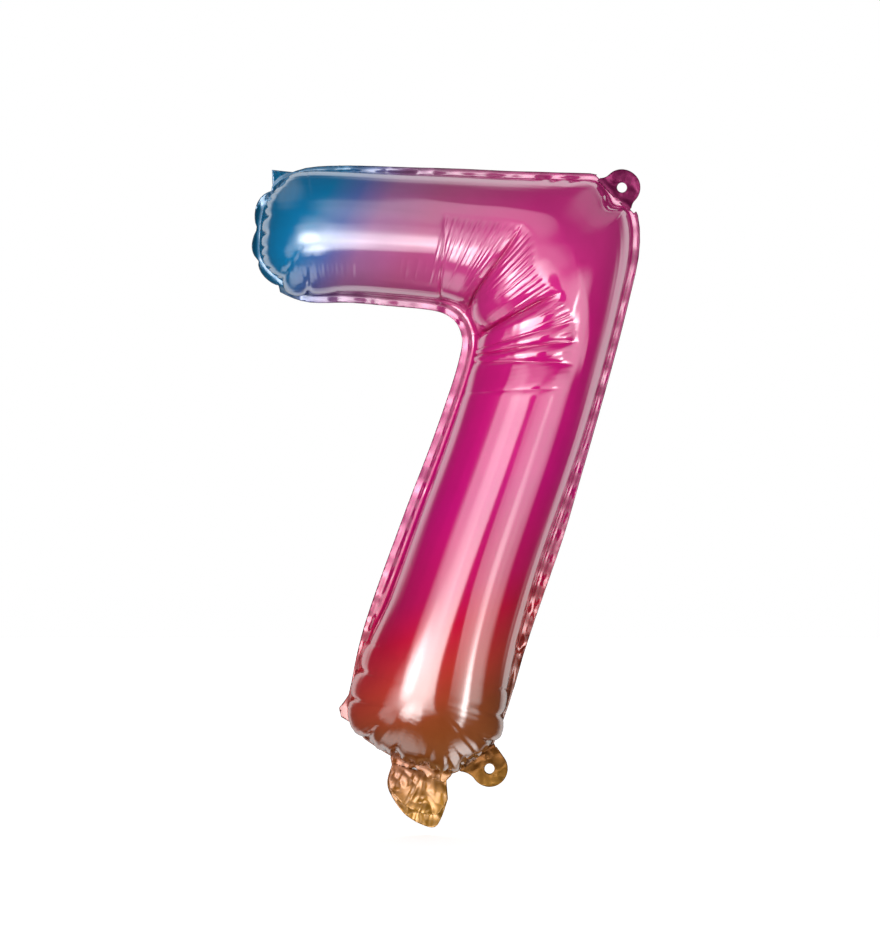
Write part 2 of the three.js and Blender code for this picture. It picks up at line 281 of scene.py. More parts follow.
def film_links(start, spare_along, spare_across):
    """The film's threads as pairs of slices with their lengths, in sets that share no point."""
    r, c = start.shape[:2]
    both = (spare_along + spare_across) / 2
    kinds = [
        ((0, r - 1, 0, c), (1, r, 0, c), spare_along, 0),
        ((0, r, 0, c - 1), (0, r, 1, c), spare_across, 1),
        ((0, r - 1, 0, c - 1), (1, r, 1, c), both, 0),
        ((1, r, 0, c - 1), (0, r - 1, 1, c), both, 0),
    ]
    links = []
    for from_, to, spare, axis in kinds:
        for phase in (0, 1):
            pair = []
            for lo_r, hi_r, lo_c, hi_c in (from_, to):
                lows, steps = [lo_r, lo_c], [1, 1]
                lows[axis] += phase
                steps[axis] = 2
                pair.append((slice(lows[0], hi_r, steps[0]), slice(lows[1], hi_c, steps[1])))
            a, b = pair
            growth = 1 + (spare[a] + spare[b]) / 2
            length = np.linalg.norm(start[b] - start[a], axis=2) * growth
            links.append((a, b, length[..., None]))
    return links


def inner_laplacian(field):
    out = np.zeros_like(field)
    out[1:-1, 1:-1] = (
        field[2:, 1:-1] + field[:-2, 1:-1] + field[1:-1, 2:] + field[1:-1, :-2] - 4 * field[1:-1, 1:-1]
    )
    return out


def inflate(start, spare_along, spare_across, rng, rounds, push=0.01 * MM, stiffness=0.004):
    """Film of fixed size, pinned at its seam, under pressure: where it has length to spare it wrinkles."""
    SLIP, PINCH = 0.9, 0.5  # speed kept each round, and resistance to pressing together
    inside = np.zeros(start.shape[:2] + (1,))
    inside[1:-1, 1:-1] = 1
    film = start + inside * 0.3 * MM * rng.standard_normal(inside.shape) * normals(start)
    links = film_links(start, spare_along, spare_across)
    before = film.copy()
    for _ in range(rounds):
        moved = film + SLIP * (film - before) + push * normals(film) * inside
        before, film = film, moved
        for a, b, length in links:
            gap = film[b] - film[a]
            size = np.sqrt((gap * gap).sum(axis=2, keepdims=True))
            error = (size - length) / np.maximum(size, 1e-9)
            gap *= np.where(error > 0, 0.5, 0.5 * PINCH) * error
            film[a] += gap
            film[b] -= gap
        film -= stiffness * inner_laplacian(inner_laplacian(film - start))
        film = np.where(inside > 0, film, start)
    return film


SIM_ROWS, SIM_COLUMNS = 300, 65


def inflated(seed):
    """The front dome as inflated film, on the simulation's grid, with its places along the numeral."""
    rng = np.random.default_rng(seed)
    t = rows_by(SIM_ROWS, lambda s: np.ones_like(s))
    angle = np.linspace(0, math.pi, SIM_COLUMNS)
    start = smooth_dome(t, angle)
    s = distance_along(t)[:, None]
    w = (angle / math.pi)[None]
    to_bar_end = np.linalg.norm(start - start[:1], axis=2)
    to_foot_end = np.linalg.norm(start - start[-1:], axis=2)
    beside_seam = hump(np.minimum(w, 1 - w), 0, 0.07)
    bend = hump(s, BEND_AT, 50 * MM) * smoothstep(w, 0.05, 0.2) * (1 - smoothstep(w, 0.5, 0.62))
    outer_corner = hump(s, BEND_AT, 35 * MM) * smoothstep(w, 0.8, 0.95)
    near_ends = [np.exp(-((away / (18 * MM)) ** 1.3)) for away in (to_bar_end, to_foot_end)]
    across = 0.28 * (near_ends[0] + near_ends[1])
    along = 0.10 * beside_seam * (hump(s, 0, 50 * MM) + hump(s, LENGTH, 60 * MM))
    along = along + 0.02 * bend + 0.10 * outer_corner
    rounds = 700
    return t, inflate(start, along, across, rng, rounds)


# ---------------------------------------------------------------- creases, ripples and puckers

def seam_ring():
    """The seam as one closed loop, clockwise from the bar's top left corner, and distances along it."""
    t = np.linspace(0, 1, 1600)
    outer, inner = through(OUTER, t), through(INNER, t)
    foot, bar = through(FOOT_END, t[::5]), through(BAR_END, t[::5])
    ring = np.concatenate([outer, foot[::-1][1:], inner[::-1][1:], bar[1:-1]])
    ring[:, 1] = 0
    return ring, arc_length(np.concatenate([ring, ring[:1]]))


RING, RING_RUN = seam_ring()
MIDDLE = (through(OUTER, CAD_ROWS) + through(INNER, CAD_ROWS)) / 2
MIDDLE = MIDDLE[MIDDLE[:, 2] < MIDDLE[:, 2].max() - 60 * MM]  # the stem's middle line
RING_LENGTH = RING_RUN[-1]


def tree_of(points):
    """A search tree for the nearest of some points."""
    tree = KDTree(len(points))
    for number, point in enumerate(points):
        tree.insert(point, number)
    tree.balance()
    return tree


SEAM_TREE = tree_of(RING)


def near_seam(points):
    """For each point its place along the seam, its distance from it, and the seam's direction there."""
    flat = points.reshape(-1, 3)
    found = [SEAM_TREE.find(point)[1:] for point in flat]
    index = np.array([number for number, _ in found])
    away = np.array([distance for _, distance in found])
    tangent = RING[(index + 1) % len(RING)] - RING[index - 1]
    tangent /= np.linalg.norm(tangent, axis=1, keepdims=True)
    place = RING_RUN[index] + ((flat - RING[index]) * tangent).sum(axis=1).clip(-MM, MM)
    grid = points.shape[:-1]
    return place.reshape(grid), away.reshape(grid), tangent.reshape(points.shape)


# The ridge where the bend's fans of ripples start: its share across the numeral, every so far along it.
RIDGE_START, RIDGE_STEP = 95 * MM, 15 * MM
RIDGE_W = np.array([0.62, 0.60, 0.59, 0.585, 0.56, 0.49, 0.47, 0.53, 0.61, 0.65, 0.66, 0.68])

# The deep creases that part the bend into lobes: distance along at the inner seam and at the ridge, and
# depth, all in mm.
PARTINGS = [
    (129, 110, 0.9),
    (161, 151, 4.2),
    (186, 197, 4.4),
    (207, 219, 0.7),
    (213, 230, 1.3),
    (220, 242, 0.9),
    (250, 256, 0.2),
]

GROOVE = 0.75 * MM  # how quickly a crease's sharp bottom rises beside it

# The fans of ripples: from, to and spacing along, height, all in mm, and the shares across where they start
# and end.
FANS = [
    (111, 149, 3.2, 0.52, 0.25, 1.0),
    (153, 195, 3.5, 0.58, 0.50, 1.0),
    (199, 218, 3.8, 0.44, 0.60, 1.0),
    (223, 240, 5.0, 0.30, 0.65, 1.0),
    (16, 62, 3.3, 0.22, 0.25, 0.56),
    (88, 106, 6.0, 0.30, 0.2, 0.62),
]


def parting_depth(s, share):
    """How deep the bend's creases go: sharp along each crease and round between two."""
    lines = [(inner + (ridge - inner) * share) * MM for inner, ridge, _ in PARTINGS]
    depths = [depth * MM for _, _, depth in PARTINGS]
    margin = 9 * MM
    lines = [lines[0] - margin, *lines, lines[-1] + margin]
    depths = [0, *depths, 0]
    out = np.zeros_like(s)
    for low, high, low_depth, high_depth in zip(lines, lines[1:], depths, depths[1:]):
        f = np.clip((s - low) / (high - low), 0, 1)
        here = (s >= low) & (s < high)
        lobe = low_depth * np.clip(1 - 2 * f, 0, 1) ** 2 + high_depth * np.clip(2 * f - 1, 0, 1) ** 2
        groove = low_depth * np.exp(-(s - low) / GROOVE) + high_depth * np.exp(-(high - s) / GROOVE)
        out = np.where(here, lobe + 0.65 * groove, out)
    return out


def bend_creases(s, w, along, rng):
    """Displacement of the bend's deep creases and of the fans of ripples."""
    ridge = through(RIDGE_W, (s[:, 0] - RIDGE_START) / (RIDGE_STEP * (len(RIDGE_W) - 1)))[:, None]
    share = w / ridge
    scale = np.clip(np.gradient(along, axis=0) / np.gradient(s, axis=0), 0.3, 1.2)
    on_bend = smoothstep(s, 62 * MM, 120 * MM) * (1 - smoothstep(s, 236 * MM, 256 * MM))
    band = 0.07 + 0.07 * hump(s, 178 * MM, 22 * MM)
    lowered = np.clip(1 - (w - ridge) / band, 0, 1) * smoothstep(w, 0.1, 0.42)
    steep = 25 - 9 * hump(s, 180 * MM, 22 * MM)
    out = -steep * MM * band * on_bend * lowered
    reach = (1 - smoothstep(share, 0.85, 1.06)) * smoothstep(w, 0.0, 0.09)
    out -= reach * parting_depth(s, share)
    for start, end, spacing, height, foot, head in FANS:
        creases = crease_places(rng, start * MM, end * MM, spacing * MM, 0.35)
        heights = height * MM * rng.uniform(0.55, 1.25, len(creases) - 1)
        lengths = rng.uniform(0.3, 1.0, len(creases) - 1)
        k = np.clip(np.searchsorted(creases, s) - 1, 0, len(lengths) - 1)
        tail = head - (head - foot) * lengths[k]
        fade = smoothstep(share, tail, tail + 0.5 * (head - tail)) * smoothstep(head - share, -0.02, 0.04)
        shift = 0.14 * spacing * MM * wander(rng, w, 0.35)
        shape = lobes(s + shift, creases, heights) - 0.5 * height * MM * ((s > start * MM) & (s < end * MM))
        out += shape * fade * scale
    return out


# Where the seam is pinched round the foot and round the bar's end, in mm along it from the foot's outer
# corner, and how hard each pinch is.
FOOT_PINCHES = [(-34, 0.5), *[(at, 1) for at in (-18, -1, 17, 31, 45, 66, 84, 111, 129)], (147, 0.7)]
BAR_PINCHES = [(431, 0.2), (449, 1), (467, 1), (512, 0.2), (551, 0.25)]
FOOT_CORNER = RING_RUN[np.linalg.norm(RING - OUTER[-1] * (1, 0, 1), axis=1).argmin()]


def end_puffs(place, away):
    """How far the film bulges outwards between the pinches, and how far each pinch creases it."""
    lead = 100 * MM
    run = (place - FOOT_CORNER + lead) % RING_LENGTH - lead
    bulge, crease = np.zeros_like(run), np.zeros_like(run)
    for pinches in (FOOT_PINCHES, BAR_PINCHES):
        at = np.array([place for place, _ in pinches]) * MM
        hard = np.array([share for _, share in pinches])
        k = np.clip(np.searchsorted(at, run) - 1, 0, len(at) - 2)
        width = at[k + 1] - at[k]
        f = np.clip((run - at[k]) / width, 0, 1)
        swell = np.minimum(hard[k], hard[k + 1]) * np.minimum(width, 20 * MM)
        bulge += 0.15 * swell * np.sin(np.pi * f) ** 0.6
        pinch = np.where(f < 0.5, hard[k], hard[k + 1]) * ((run > at[0]) & (run < at[-1]))
        crease += pinch * np.exp(-np.minimum(f, 1 - f) * width / (1.6 * MM))
    bulge *= (1 - np.exp(-away / (1.5 * MM))) * np.exp(-((away / (19 * MM)) ** 2))
    crease *= 2.2 * MM * (1 - np.exp(-away / (3 * MM))) * np.exp(-((away / (24 * MM)) ** 2))
    return bulge, crease


def seam_puckers(place, away, s, rng):
    """Displacement of the puckers that run in from the seam: wide at the ends, fine along the sides."""
    end_share = np.maximum(hump(s, 0, 26 * MM), hump(s, LENGTH, 34 * MM))
    foot_share = hump(s, LENGTH - 12 * MM, 36 * MM)
    bend_share = hump(s, BEND_AT, 40 * MM)
    # spacing, height, reach and start from the seam in mm, and where
    kinds = [
        (4.2, 0.55, 30, 9, foot_share),
        (3.3, 0.10, 28, 8, end_share),
        (6.5, 0.2, 6, 1.5, 0.35 + bend_share),
        (2.6, 0.06, 4, 1.5, 0.5 + end_share),
    ]
    out = np.zeros_like(s)
    for spacing, height, reach, start, share in kinds:
        creases = crease_places(rng, 0, RING_LENGTH, spacing * MM, 0.45)
        heights = height * MM * rng.uniform(0.3, 1.4, len(creases) - 1)
        reaches = reach * MM * rng.uniform(0.6, 1.5, len(creases) - 1)
        k = np.clip(np.searchsorted(creases, place) - 1, 0, len(heights) - 1)
        fade = (1 - np.exp(-away / (start * MM))) * np.exp(-((away / reaches[k]) ** 1.6))
        out += (lobes(place, creases, heights) - 0.4 * heights[k]) * fade * share
    return out


def seam_wave(place):
    """How far the seam stands off its plane along its length: the same for both panels and the rim."""
    rng = np.random.default_rng(5)
    turn = place / RING_LENGTH
    phases = rng.uniform(0, 2 * math.pi, 60)
    sizes = rng.uniform(0.3, 1.0, 60)
    out = sum(a * np.sin(2 * math.pi * (k + 20) * turn + b) for k, (a, b) in enumerate(zip(sizes, phases)))
    return 0.045 * MM * out


def streaks(shape, rng):
    """Faint long ridges that run with the tube, and broad soft dents."""
    ridges = 0.035 * MM * rumple(rng, shape, 7, 60)
    dents = 0.28 * MM * rumple(rng, shape, 16, 7)
    return ridges + dents


PANEL_ROWS, PANEL_COLUMNS = 720, 136
TAPER_FROM = 300 * MM  # where the stem starts to slim towards the foot
FOOT_TAPER = 0.14  # the share of its depth that it has lost at the foot
MARGIN = 1.0 * MM  # of film that lies flat beside the seam before it rises
INNER_MARGIN = 2.4 * MM  # the same along the inner side of the bend and stem, besides


def set_in(surface, s, w):
    """Lays the film's margin flat beside the seam and moves the wall in behind a small hollow."""
    _, away, tangent = near_seam(surface)
    inward = np.stack([tangent[..., 2], 0 * away, -tangent[..., 0]], axis=-1)
    past_bar = smoothstep(s, 112 * MM, 150 * MM)
    near_foot = smoothstep(s, LENGTH - 110 * MM, LENGTH - 75 * MM)
    margin = MARGIN + INNER_MARGIN * past_bar * (1 - near_foot) * (w < 0.5)
    reach = 2.4 * MM + 0.4 * margin
    shift = margin * smoothstep(away, 0, reach) * hump(away, 0, 26 * MM)
    moved = surface + inward * shift[..., None]
    moved[..., 1] *= smoothstep(away, 0.25 * reach, 1.3 * reach)
    moved[..., 1] -= 0.2 * MM * smoothstep(away, 0, 0.6 * MM)
    return moved


def row_weight(s):
    """More rows go to the bend and the foot, where the film is creased."""
    return 1 + 1.3 * hump(s, 170 * MM, 75 * MM) + 0.5 * hump(s, LENGTH, 40 * MM)


def panel_grid(seed, side):
    """A finished dome as a grid of points: side is -1 for the front and 1 for the back."""
    rng = np.random.default_rng(seed)
    sim_t, film = inflated(seed)
    t = rows_by(PANEL_ROWS, row_weight)
    even = np.linspace(0, 1, PANEL_COLUMNS)
    columns = 0.65 * even + 0.35 * (1 - np.cos(math.pi * even)) / 2
    rows = np.interp(t, sim_t, np.linspace(0, 1, len(sim_t)))
    surface = refine(film, rows, columns)
    s = distance_along(t)[:, None] + 0 * columns[None]
    w = columns[None] + 0 * s
    along = arc_length(surface)
    place, away, tangent = near_seam(surface)
    offset = bend_creases(s, w, along, rng) + seam_puckers(place, away, s, rng)
    offset += streaks(s.shape, rng) * smoothstep(away, 0, 25 * MM)
    bulge, crease = end_puffs(place, away)
    edge = np.minimum(np.minimum(w, 1 - w) / 0.02, 1)
    outward = np.stack([-tangent[..., 2], 0 * away, tangent[..., 0]], axis=-1)
    along_normal = (offset - crease) * edge
    surface = surface + normals(surface) * along_normal[..., None] + outward * bulge[..., None]
    surface[..., 1] -= SEAM_Y * np.exp(-((away / (6 * MM)) ** 2))
    past = np.clip((s - TAPER_FROM) / (LENGTH - TAPER_FROM), 0, 1)
    surface[..., 1] *= 1 - FOOT_TAPER * past**2
    surface = set_in(surface, s, w)
    surface[..., 1] *= -side
    surface[..., 1] += seam_wave(place) * np.exp(-((away / (9 * MM)) ** 2))
    return surface


# ---------------------------------------------------------------- meshes

def grid_faces(rows, columns, closed=False):
    index = np.arange(rows * columns).reshape(rows, columns)
    if closed:
        index = np.concatenate([index, index[:1]])
    return np.stack([index[:-1, :-1], index[:-1, 1:], index[1:, 1:], index[1:, :-1]], axis=2).reshape(-1, 4)


def add_mesh(name, points, faces, material):
    mesh = bpy.data.meshes.new(name)
    mesh.from_pydata(points.reshape(-1, 3).tolist(), [], faces.tolist())
    mesh.polygons.foreach_set("use_smooth", np.ones(len(mesh.polygons), bool))
    mesh.materials.append(material)
    mesh.update()
    obj = bpy.data.objects.new(name, mesh)
    bpy.context.scene.collection.objects.link(obj)
    return obj


def thicken(obj, thickness):
    """Gives a sheet two sides."""
    solid = obj.modifiers.new("film", "SOLIDIFY")
    solid.thickness = thickness
    solid.offset = 0
    return obj


# ---------------------------------------------------------------- flat film: rim, tabs, tail and valve

PATCH_SPACING = 0.8 * MM
FILM_THICKNESS = 0.22 * MM
OVERLAP_THICKNESS = 0.30 * MM  # of film that laps over the rim, so that the two never share a face


def outline(node):
    """The rings of a flat node's face as (x, z) points: its edge first, then its holes."""
    points, triangles = merged(node)
    face = (points[:, 1] < points[:, 1].min() + 1e-6)[triangles].all(axis=1)
    rings = [points[loop] for loop in edge_loops(triangles[face])]
    return [ring[:, [0, 2]] for ring in sorted(rings, key=lambda ring: -plan_area(ring))]


def resampled(ring):
    closed = np.concatenate([ring, ring[:1]])
    run = arc_length(closed)
    count = int(np.ceil(run[-1] / PATCH_SPACING))
    place = np.arange(count) * run[-1] / count
    return np.stack([np.interp(place, run, closed[:, k]) for k in (0, 1)], axis=1)


def inside(points, ring):
    """Which points of the seam plane lie inside a ring."""
    odd = np.zeros(len(points), bool)
    for (x0, z0), (x1, z1) in zip(ring, np.roll(ring, -1, axis=0)):
        if z0 != z1:
            spans = (points[:, 1] < z0) != (points[:, 1] < z1)
            odd ^= spans & (points[:, 0] < x0 + (x1 - x0) * (points[:, 1] - z0) / (z1 - z0))
    return odd


def as_flat(points):
    """Points of the seam plane as points in space."""
    return np.stack([points[:, 0], 0 * points[:, 0], points[:, 1]], axis=1)


def covered(points, sheets, holes):
    """Which points lie in any of the sheets' rings and in none of the holes."""
    held = np.any([inside(points, ring) for ring in sheets], axis=0)
    for hole in holes:
        held &= ~inside(points, hole)
    return held


def film_patch(sheets, holes=()):
    """Flat film inside any of some rings, less holes: points in space and small even triangles."""
    rings = [*sheets, *holes]
    border = np.concatenate(rings)
    low, high = border.min(axis=0), border.max(axis=0)
    across, up = PATCH_SPACING, 0.87 * PATCH_SPACING
    x, z = np.meshgrid(np.arange(low[0], high[0], across), np.arange(low[1], high[1], up))
    x[1::2] += across / 2
    lattice = np.stack([x.ravel(), z.ravel()], axis=1)
    lattice = lattice[covered(lattice, sheets, holes)]
    tree = tree_of(as_flat(border))
    clear = np.array([tree.find(point)[2] > 0.6 * across for point in as_flat(lattice)], bool)
    points = np.concatenate([border, lattice[clear]])
    edges, first = [], 0
    for ring in rings:
        edges += [(first + k, first + (k + 1) % len(ring)) for k in range(len(ring))]
        first += len(ring)
    made = geometry.delaunay_2d_cdt([Vector(point) for point in points], edges, [], 0, 1e-7)
    points, triangles = np.array(made[0]), np.array(made[2])
    triangles = triangles[covered(points[triangles].mean(axis=1), sheets, holes)]
    used, numbers = np.unique(triangles, return_inverse=True)
    return as_flat(points[used]), numbers.reshape(-1, 3)


def bumps(points, size, seed):
    """Smooth noise of about unit size over points of the seam plane, with features of a given size."""
    shift = Vector((17.3 * seed, 5.1 * seed, 9.7 * seed))
    return np.array([2 * noise.noise(Vector(point) / size + shift) for point in points])


def folds(points, size, seed):
    """Sharp folds: 1 on the fold lines, falling to 0 and below away from them."""
    return 1 - 3 * np.abs(bumps(points, size, seed))


def rim_ring():
    """The rim's outline, with its seam side moved in under the panels' edges."""
    TUCK = 1.2 * MM
    ring = as_flat(resampled(outline("seam_rim")[0]))
    _, away, tangent = near_seam(ring)
    inward = np.stack([tangent[:, 2], 0 * away, -tangent[:, 0]], axis=1)
    free = (away > 3 * MM) & (ring[:, 0] > np.interp(ring[:, 2], MIDDLE[::-1, 2], MIDDLE[::-1, 0]))
    wider = 3.4 * MM * hump(ring[:, 2], CAD_BOX[0][2] + 165 * MM, 48 * MM) * free
    return (ring + (np.where(away < 0.8 * MM, TUCK, 0) - wider)[:, None] * inward)[:, [0, 2]]


def rim_height(points):
    """How far flat film stands off the seam plane: crinkled low on the stem and on the bar's top."""
    place, away, _ = near_seam(points)
    outer = np.where(inside(points[:, [0, 2]], RING[:, [0, 2]]), 0, away)
    rng = np.random.default_rng(9)
    from_left = points[:, 0] - CAD_BOX[0][0]
    from_foot = points[:, 2] - CAD_BOX[0][2]
    from_top = CAD_BOX[1][2] - points[:, 2]
    foot = smoothstep(160 * MM - from_foot, 0, 50 * MM)
    top = hump(from_left, 82 * MM, 24 * MM) * (from_top < 40 * MM)
    slack = 0.02 + 0.14 * np.maximum(foot, top)
    wave = wander(rng, place, 8 * MM) + 0.35 * wander(rng, place, 3.2 * MM)
    small = 0.5 * MM * slack * bumps(points, 5 * MM, 1) * smoothstep(outer, 0, 2 * MM)
    # the loose film at the bar's end leans back, and its top corner forwards
    end = smoothstep(34 * MM - from_left, 0, 14 * MM)
    corner = smoothstep(27 * MM - from_top, 0, 10 * MM)
    lean = (0.55 - 0.7 * corner) * end * outer
    bead = -0.35 * MM * hump(outer, 2.2 * MM, 1.5 * MM)
    return seam_wave(place) + lean + slack * outer * wave + small + bead


def bar_flap():
    """The loose corner of film beyond the bar's top left corner: offsets in mm from the rim's tip."""
    OFFSETS = [(0, 0), (22, -2.2), (26, -10), (14, -16), (6, -20), (0.4, -11)]
    ring = outline("seam_rim")[0]
    tip = ring[(ring[:, 1] - ring[:, 0]).argmax()]
    return resampled(tip + np.array(OFFSETS) * MM)


def fold_line(joint_name):
    """A fold's place in the seam plane, its direction, and the direction across it towards the balloon."""
    joint = next(joint for joint in frame["joints"] if joint["name"] == joint_name)
    place = np.array(joint["pos_m"])[[0, 2]]
    along = np.array(joint["axis"])[[0, 2]]
    across = np.array([-along[1], along[0]])
    balloon = RING[:, [0, 2]].mean(axis=0)
    return place, along, across * np.sign((balloon - place) @ across)


def root_strip(ring, fold, depth, flare, lap=0.3 * MM):
    """The strip that carries a flap of film on from its root into the balloon, wider by a flare."""
    place, along, across = fold
    level = (ring - place) @ across
    root = ring[level > level.max() - 0.1 * MM]
    ends = root[np.argsort(root @ along)[[0, -1]]]
    out = np.array([-1, 1])[:, None] * along
    low = ends - lap * across
    middle = ends + 0.7 * flare * out + 0.25 * depth * across
    deep = ends + flare * out + depth * across
    return resampled(np.array([low[0], low[1], middle[1], deep[1], deep[0], middle[0]]))


def film_piece(name, points, triangles, height, thickness, material):
    """A piece of flat film with its height over the seam plane."""
    points = points.copy()
    points[:, 1] = height
    return thicken(add_mesh(name, points, triangles, material), thickness)


def below(points, fold):
    """How far points lie outside a fold line."""
    place, _, across = fold
    return -(points[:, [0, 2]] - place) @ across


def bend_over(piece):
    """Bakes a piece's placement into its points."""
    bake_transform(piece)


def hang_tab(node, joint, body, material, seed):
    """A hang tab with its punched hole, and the strip that joins it to the balloon."""
    ring, hole = [resampled(one) for one in outline(node)]
    fold = fold_line(joint)
    points, triangles = film_patch([ring, root_strip(ring, fold, 2.6 * MM, 0.5 * MM)], [hole])
    out = below(points, fold)
    free = smoothstep(out, -1 * MM, 5 * MM)
    curl = 0.9 * MM * free * np.sin(2.2 * bumps(points, 14 * MM, seed))
    small = 0.12 * MM * free * bumps(points, 3 * MM, seed + 1)
    height = (1 - free) * rim_height(points) + curl + small
    piece = film_piece(body + "_film", points, triangles, height, OVERLAP_THICKNESS, material)
    bend_over(piece)
    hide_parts(node)


def crumple(points, out, seed):
    """The crumpled tail film: long folds that run down from its root, crossed by small sharp ones."""
    place, along, _ = fold_line("tail_fold")
    side = (points[:, [0, 2]] - place) @ along
    spread = side / (1 + out / (60 * MM))
    stretched = np.stack([spread, 0 * side, out / 3.5], axis=1)
    long_folds = folds(stretched, 6.5 * MM, seed)
    small_folds = folds(points, 10 * MM, seed + 1)
    return (0.55 * long_folds + 0.35 * small_folds + 0.03 * bumps(points, 2.5 * MM, seed + 2)) * MM


def tail_pieces(material):
    """The tail's two leaves, carried on into the balloon; the front one opens away from the back one."""
    fold = fold_line("tail_fold")
    back_ring = resampled(outline("tail_back_leaf")[0])
    points, triangles = film_patch([back_ring, root_strip(back_ring, fold, 7 * MM, 3 * MM)])
    out = below(points, fold)
    free = smoothstep(out, 0, 8 * MM)
    # the back leaf starts behind the valve's films, as the root film lies in front of them
    root = rim_height(points) + 1.2 * MM * smoothstep(out, -6 * MM, -2 * MM)
    height = (1 - free) * root + free * (1.5 * MM - crumple(points, out, 21))
    back = film_piece("tail_back_film", points, triangles, height, OVERLAP_THICKNESS, material)
    bend_over(back)
    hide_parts("tail_back_leaf")

    ring = resampled(outline("tail_front_leaf")[0])
    points, triangles = film_patch([root_strip(ring, fold, 7 * MM, 3 * MM, 2.5 * MM)])
    height = rim_height(points) - 0.9 * MM * smoothstep(below(points, fold), -6 * MM, -2 * MM)
    root = film_piece("tail_root_film", points, triangles, height, FILM_THICKNESS, material)
    bend_over(root)

    points, triangles = film_patch([ring])
    out = below(points, fold)
    free = smoothstep(out, -2 * MM, 7 * MM)
    height = -(0.35 + 1.35 * free) * MM + free * crumple(points, out, 31)
    front = film_piece("tail_front_film", points, triangles, height, FILM_THICKNESS, material)
    bend_over(front)
    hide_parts("tail_front_leaf")


def valve_strip(name, inner_node, inlet_node, side, material):
    """One of the valve's clear films, from the tail's mouth up into the stem."""
    fold = fold_line("tail_fold")
    sheets = [resampled(outline(node)[0]) for node in (inner_node, inlet_node)]
    sheets.append(root_strip(sheets[1], fold, 5 * MM, 0))
    points, triangles = film_patch(sheets)
    height = side * 0.35 * MM + side * 0.12 * MM * np.abs(bumps(points, 9 * MM, 41))
    strip = film_piece(name, points, triangles, height, FILM_THICKNESS, material)
    bend_over(strip)
    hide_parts(inner_node, inlet_node)


def rim_piece(material):
    points, triangles = film_patch([rim_ring(), bar_flap()])
    rim = film_piece("welded_rim", points, triangles, rim_height(points), FILM_THICKNESS, material)
    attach(rim, "balloon")
    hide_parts("seam_rim")


def panel_piece(name, node, seed, side, material):
    grid = panel_grid(seed, side)
    faces = grid_faces(*grid.shape[:2])
    panel = add_mesh(name, grid, faces if side < 0 else faces[:, ::-1], material)
    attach(panel, "balloon")
    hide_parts(node)


# ---------------------------------------------------------------- materials

def linear(red, green, blue):
    """A display colour, 0 to 255, as the linear colour shaders use."""
    shares = [c / 255 for c in (red, green, blue)]
    return (*[((c + 0.055) / 1.055) ** 2.4 if c > 0.04 else c / 12.92 for c in shares], 1)


class Nodes:
    """A shorter way to write a node tree."""

    def __init__(self, tree):
        self.tree = tree

    def add(self, kind, settings=None, **inputs):
        node = self.tree.nodes.new(kind)
        for key, value in (settings or {}).items():
            setattr(node, key, value)
        for key, value in inputs.items():
            self.put(node, key.replace("_", " "), value)
        return node

    def put(self, node, key, value):
        socket = node.inputs[int(key[1:])] if key[1:].isdigit() else node.inputs[key]
        if isinstance(value, bpy.types.NodeSocket):
            self.tree.links.new(value, socket)
        else:
            socket.default_value = value

    def math(self, operation, a, b=0.0, c=0.0):
        return self.add("ShaderNodeMath", {"operation": operation}, n0=a, n1=b, n2=c).outputs[0]

    def dot(self, a, b):
        return self.add("ShaderNodeVectorMath", {"operation": "DOT_PRODUCT"}, n0=a, n1=b).outputs["Value"]

    def step(self, value, low, high, to=1.0):
        kind = {"interpolation_type": "SMOOTHSTEP"}
        node = self.add("ShaderNodeMapRange", kind, Value=value, From_Min=low, From_Max=high, To_Max=to)
        return node.outputs[0]

    def between(self, share, low, high):
        """A share from 0 to 1 as a value from low to high."""
        return self.add("ShaderNodeMapRange", n0=share, n3=low, n4=high).outputs[0]

    def noise(self, place, **inputs):
        return self.add("ShaderNodeTexNoise", Vector=place, **inputs).outputs[0]

    def ramp(self, place, stops):
        """A colour ramp from stops of (place, colour)."""
        first, last = stops[0][0], stops[-1][0]
        share = self.math("DIVIDE", self.math("SUBTRACT", place, first), last - first)
        node = self.add("ShaderNodeValToRGB", Fac=share)
        bar = node.color_ramp
        while len(bar.elements) < len(stops):
            bar.elements.new(1)
        for element, (at, colour) in zip(bar.elements, stops):
            element.position = (at - first) / (last - first)
            element.color = linear(*colour)
        return node.outputs["Color"]


# The print's colours run down from the bar's end along one slope, and down the stem along another: the
# direction each is measured along, and its stops in mm.
BAR_SLOPE = (0.88, 0, -0.48)
BAR_STOPS = [
    (-185, (0, 104, 148)),
    (-152, (0, 112, 160)),
    (-136, (78, 98, 158)),
    (-118, (148, 96, 142)),
    (-92, (168, 80, 126)),
    (-40, (190, 44, 124)),
]
STEM_SLOPE = (0.316, 0, -0.949)
STEM_STOPS = [
    (60, (194, 20, 120)),
    (150, (192, 4, 116)),
    (196, (188, 8, 92)),
    (216, (190, 12, 58)),
    (240, (180, 54, 46)),
    (266, (148, 72, 36)),
    (292, (140, 80, 34)),
    (318, (178, 126, 46)),
]


def printed_colour(nodes, position):
    """The film's printed colours, by place on the numeral."""
    bar = nodes.ramp(nodes.math("DIVIDE", nodes.dot(position, BAR_SLOPE), MM), BAR_STOPS)
    down = nodes.math("DIVIDE", nodes.dot(position, STEM_SLOPE), MM)
    stem = nodes.ramp(down, STEM_STOPS)
    share = nodes.step(down, 20, 80)
    return nodes.add("ShaderNodeMix", {"data_type": "RGBA"}, n0=share, n6=bar, n7=stem).outputs[2]


